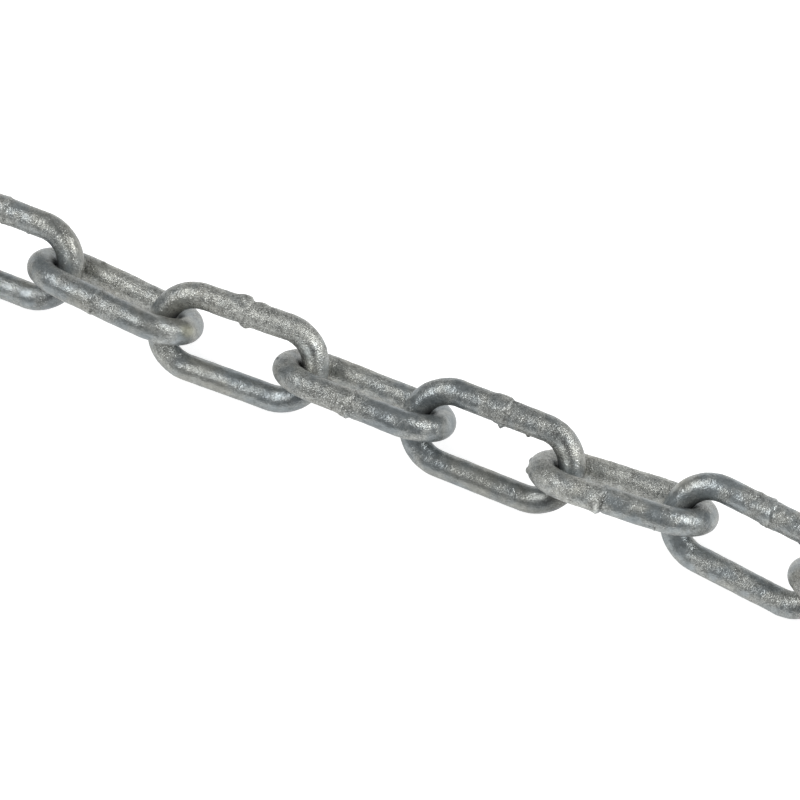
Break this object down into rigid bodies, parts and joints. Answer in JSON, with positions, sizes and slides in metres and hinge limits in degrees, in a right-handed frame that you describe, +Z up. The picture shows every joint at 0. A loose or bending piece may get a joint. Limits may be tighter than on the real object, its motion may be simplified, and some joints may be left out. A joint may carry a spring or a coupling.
{
  "type": "galvanised steel chain",
  "caption": "Straight length of galvanised welded steel chain: oval links of round wire, each a quarter turn from the next, with a butt weld in the side of each link.",
  "frame": {"origin": "under the middle of the chain, on the surface it lies on", "axes": "+X along the taut chain from link_1 to link_8, +Z up"},
  "size_m": [0.333, 0.0286, 0.0239],
  "materials": {
    "zinc_coated_steel": "hot-dip galvanised, dull neutral grey with bright speckle"
  },
  "bodies": {
    "link_1": {"link_1": "zinc_coated_steel"},
    "link_2": {"link_2": "zinc_coated_steel"},
    "link_3": {"link_3": "zinc_coated_steel"},
    "link_4": {"link_4": "zinc_coated_steel"},
    "link_5": {"link_5": "zinc_coated_steel"},
    "link_6": {"link_6": "zinc_coated_steel"},
    "link_7": {"link_7": "zinc_coated_steel"},
    "link_8": {"link_8": "zinc_coated_steel"}
  },
  "joints": [
    {"name": "swing_4_5", "type": "hinge", "parent": "link_4", "child": "link_5", "pos_m": [0.00433, -0.00068, 0.01175], "axis": [0.0062, -0.7071, 0.7071], "range_deg": [-120, 120]},
    {"name": "swing_5_6", "type": "hinge", "parent": "link_5", "child": "link_6", "pos_m": [0.04406, -0.00034, 0.01175], "axis": [-0.0062, 0.7071, 0.7071], "range_deg": [-120, 120]},
    {"name": "swing_6_7", "type": "hinge", "parent": "link_6", "child": "link_7", "pos_m": [0.08354, 0.00343, 0.01175], "axis": [-0.0616, 0.7044, -0.7071], "range_deg": [-120, 120]},
    {"name": "swing_7_8", "type": "hinge", "parent": "link_7", "child": "link_8", "pos_m": [0.12288, -0.00109, 0.01175], "axis": [-0.0678, -0.7038, -0.7071], "range_deg": [-120, 120]},
    {"name": "swing_3_4", "type": "hinge", "parent": "link_4", "child": "link_3", "pos_m": [-0.04366, -0.0011, 0.01175], "axis": [0.0062, -0.7071, 0.7071], "range_deg": [-120, 120]},
    {"name": "swing_2_3", "type": "hinge", "parent": "link_3", "child": "link_2", "pos_m": [-0.08331, -0.00298, 0.01175], "axis": [-0.0308, 0.7064, 0.7071], "range_deg": [-120, 120]},
    {"name": "swing_1_2", "type": "hinge", "parent": "link_2", "child": "link_1", "pos_m": [-0.12285, -0.00011, 0.01175], "axis": [0.0432, 0.7058, -0.7071], "range_deg": [-120, 120]}
  ]
}
